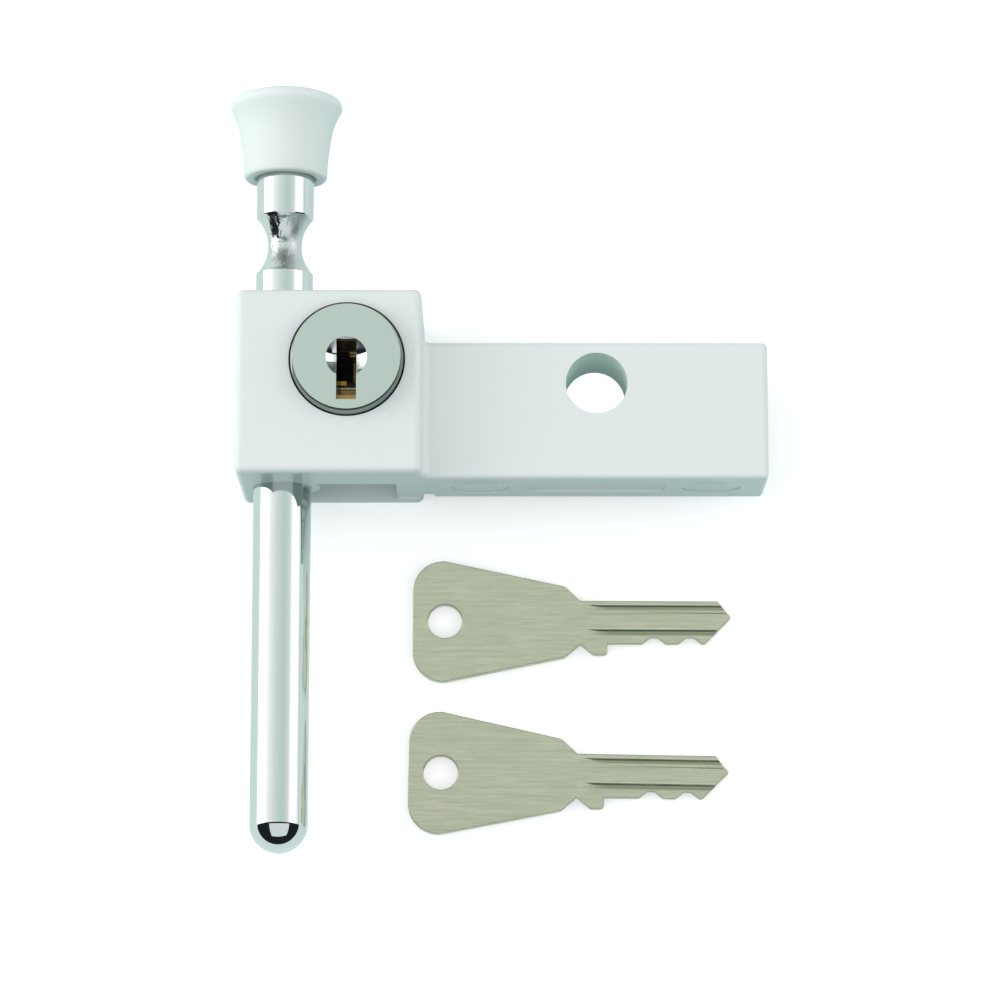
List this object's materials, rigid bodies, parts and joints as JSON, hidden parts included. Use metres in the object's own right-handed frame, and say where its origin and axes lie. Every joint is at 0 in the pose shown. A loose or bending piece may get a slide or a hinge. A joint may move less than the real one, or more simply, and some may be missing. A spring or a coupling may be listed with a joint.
{
  "type": "key-locking multi-purpose door bolt",
  "caption": "White block lock with a side fixing arm, a round chrome sliding bolt with a push knob, a keyed front plug and loose flat keys.",
  "frame": {"origin": "on the flat back of the lock block, where the axis of the key plug meets it", "axes": "+Z out of the front, the way the key comes out; +Y along the bolt rod towards its knob; +X along the fixing arm away from the block. The lock lies on its back."},
  "size_m": [0.0906, 0.1304, 0.0281],
  "materials": {
    "white_casting": "gloss white powder coat",
    "white_cover": "white powder coat",
    "white_cap": "gloss white",
    "white_knob": "soft satin white",
    "zinc_steel": "zinc plated",
    "bright_steel": "bright",
    "latch_steel": "satin",
    "spring_steel": "drawn wire",
    "dark_screw": "black oxide",
    "nylon": "natural nylon",
    "chrome": "polished chrome plate",
    "satin_plug": "satin chrome plate",
    "brass": "plain",
    "key_nickel": "brushed nickel plate"
  },
  "bodies": {
    "lock": {"lock_body": "white_casting", "back_cover": "white_cover", "fixing_plate": "zinc_steel", "plug_holding_pin": "bright_steel", "latch_spring": "spring_steel", "brake_pad": "nylon", "brake_spring": "spring_steel", "brake_screw": "dark_screw", "cover_screw_1": "bright_steel", "cover_screw_2": "bright_steel", "cover_screw_3": "bright_steel", "cover_screw_4": "bright_steel", "clamp_screw_1": "dark_screw", "clamp_screw_2": "dark_screw", "screw_cap_1": "white_cap", "screw_cap_2": "white_cap"},
    "bolt": {"bolt_rod": "chrome"},
    "knob": {"bolt_knob": "white_knob", "knob_insert": "brass"},
    "plug": {"lock_plug": "satin_plug", "wafer_spring_1": "spring_steel", "wafer_spring_2": "spring_steel", "wafer_spring_3": "spring_steel", "wafer_spring_4": "spring_steel"},
    "latch": {"latch_slide": "latch_steel"},
    "tumbler_1": {"wafer_1": "brass"},
    "tumbler_2": {"wafer_2": "brass"},
    "tumbler_3": {"wafer_3": "brass"},
    "tumbler_4": {"wafer_4": "brass"},
    "loose_key_1": {"key_1": "key_nickel"},
    "loose_key_2": {"key_2": "key_nickel"}
  },
  "joints": [
    {"name": "bolt_slide", "type": "slide", "parent": "lock", "child": "bolt", "axis": [0, -1, 0], "range_m": [0, 0.022]},
    {"name": "knob_spin", "type": "hinge", "parent": "bolt", "child": "knob", "pos_m": [-0.01115, 0.0343, 0.0131], "axis": [0, 1, 0], "continuous": true},
    {"name": "plug_turn", "type": "hinge", "parent": "lock", "child": "plug", "pos_m": [0, 0, 0.0281], "axis": [0, 0, 1], "range_deg": [0, 90]},
    {"name": "latch_draw", "type": "slide", "parent": "lock", "child": "latch", "axis": [1, 0, 0], "range_m": [0, 0.00212], "deforming": ["latch_spring"]},
    {"name": "tumbler_1_lift", "type": "slide", "parent": "plug", "child": "tumbler_1", "axis": [0, 1, 0], "range_m": [0, 0.0007], "stiffness_N_per_m": 40, "deforming": ["wafer_spring_1"]},
    {"name": "tumbler_2_lift", "type": "slide", "parent": "plug", "child": "tumbler_2", "axis": [0, 1, 0], "range_m": [0, 0.0007], "stiffness_N_per_m": 40, "deforming": ["wafer_spring_2"]},
    {"name": "tumbler_3_lift", "type": "slide", "parent": "plug", "child": "tumbler_3", "axis": [0, 1, 0], "range_m": [0, 0.0007], "stiffness_N_per_m": 40, "deforming": ["wafer_spring_3"]},
    {"name": "tumbler_4_lift", "type": "slide", "parent": "plug", "child": "tumbler_4", "axis": [0, 1, 0], "range_m": [0, 0.0007], "stiffness_N_per_m": 40, "deforming": ["wafer_spring_4"]},
    {"name": "key_1_lift", "type": "slide", "parent": "lock", "child": "loose_key_1", "axis": [0, 0, 1], "range_m": [0, 0.03]},
    {"name": "key_2_lift", "type": "slide", "parent": "lock", "child": "loose_key_2", "axis": [0, 0, 1], "range_m": [0, 0.03]}
  ],
  "couplings": [
    {"joint": "latch_draw", "follows": "plug_turn", "m_per_rad": 0.0013505}
  ]
}
